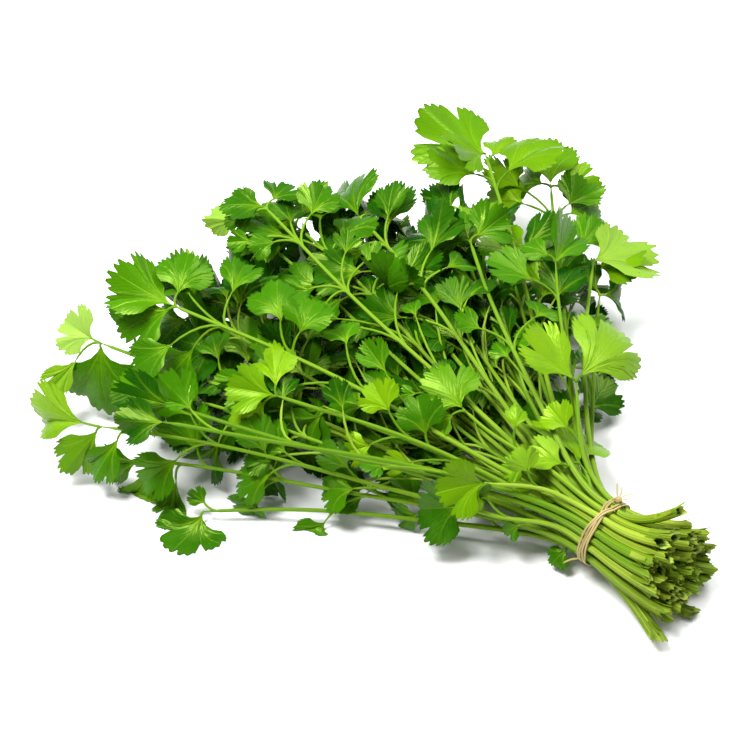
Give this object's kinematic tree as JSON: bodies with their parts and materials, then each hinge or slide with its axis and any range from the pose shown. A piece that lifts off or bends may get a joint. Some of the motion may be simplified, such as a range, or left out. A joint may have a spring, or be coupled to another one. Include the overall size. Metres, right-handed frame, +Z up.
{
  "type": "coriander bunch",
  "caption": "Bunch of fresh coriander sprigs lying on its side, fanned out from a raffia tie near the cut ends of their stalks.",
  "frame": {"origin": "middle of the bunch's box, on the surface that the bunch lies on", "axes": "+X towards the cut ends of the stalks, the leaves towards -X, +Z up"},
  "size_m": [0.311, 0.3274, 0.0851],
  "materials": {
    "coriander": "fresh leaf and stalk, soft satin green, paler along the stalks and at the cut ends",
    "raffia": "dry natural raffia, matt straw colour"
  },
  "bodies": {
    "root": {"sprig_01": "coriander", "sprig_02": "coriander", "sprig_03": "coriander", "sprig_04": "coriander", "sprig_05": "coriander", "sprig_06": "coriander", "sprig_07": "coriander", "sprig_08": "coriander", "sprig_09": "coriander", "sprig_10": "coriander", "sprig_11": "coriander", "sprig_12": "coriander", "sprig_13": "coriander", "sprig_14": "coriander", "sprig_15": "coriander", "sprig_16": "coriander", "sprig_17": "coriander", "sprig_18": "coriander", "sprig_19": "coriander", "sprig_20": "coriander", "sprig_21": "coriander", "sprig_22": "coriander", "sprig_23": "coriander", "sprig_24": "coriander", "sprig_25": "coriander", "sprig_26": "coriander", "sprig_27": "coriander", "sprig_28": "coriander", "sprig_29": "coriander", "sprig_30": "coriander", "sprig_31": "coriander", "sprig_32": "coriander", "sprig_33": "coriander", "sprig_34": "coriander", "sprig_35": "coriander", "sprig_36": "coriander", "sprig_37": "coriander", "sprig_38": "coriander", "sprig_39": "coriander", "sprig_40": "coriander", "sprig_41": "coriander", "sprig_42": "coriander", "sprig_43": "coriander", "sprig_44": "coriander", "sprig_45": "coriander", "sprig_46": "coriander", "sprig_47": "coriander", "sprig_48": "coriander", "sprig_49": "coriander", "sprig_50": "coriander", "sprig_51": "coriander", "sprig_52": "coriander", "sprig_53": "coriander", "sprig_54": "coriander", "sprig_55": "coriander", "raffia_tie": "raffia"}
  },
  "joints": []
}
